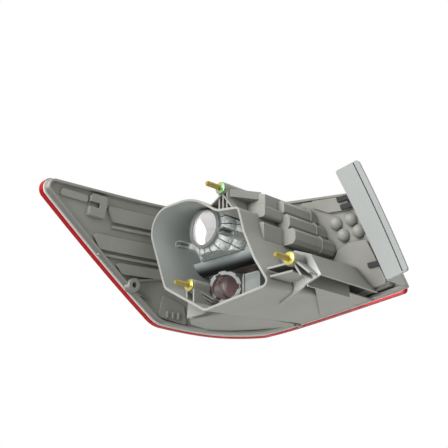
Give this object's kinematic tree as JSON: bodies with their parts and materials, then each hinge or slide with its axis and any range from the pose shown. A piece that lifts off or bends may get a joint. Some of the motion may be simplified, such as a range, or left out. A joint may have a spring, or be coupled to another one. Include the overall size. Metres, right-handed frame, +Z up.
{
  "type": "tail light cluster",
  "caption": "Right-hand wrap-around rear lamp unit with red and clear lens, open bulb bay, faceted reflectors, stud fixings and an inboard flange plate.",
  "frame": {"origin": "seat of the lower outer stud, on the front face of its flange", "axes": "+X inboard towards the middle of the car, +Y rearward towards the lens, +Z up; the studs point along -Y"},
  "size_m": [0.3176, 0.3112, 0.1611],
  "materials": {
    "housing_grey": "fine moulded grain",
    "lens_red": "polished, translucent",
    "lens_clear": "polished, clear",
    "sealant": "matt",
    "reflector": "moulded outside, metallised inside",
    "bright_trim": "metallised",
    "zinc": "yellow zinc plate",
    "plate_grey": "smooth moulded",
    "clip_grey": "moulded"
  },
  "bodies": {
    "root": {"housing": "housing_grey", "bulb_bay": "housing_grey", "inboard_bracket": "housing_grey", "lens_red": "lens_red", "lens_clear": "lens_clear", "lens_seal": "sealant", "upper_reflector": "reflector", "lower_reflector": "reflector", "inner_bezel": "bright_trim", "stud_lower": "zinc", "stud_inboard": "zinc", "stud_upper": "zinc", "inboard_plate": "plate_grey", "plate_clips": "clip_grey"}
  },
  "joints": []
}
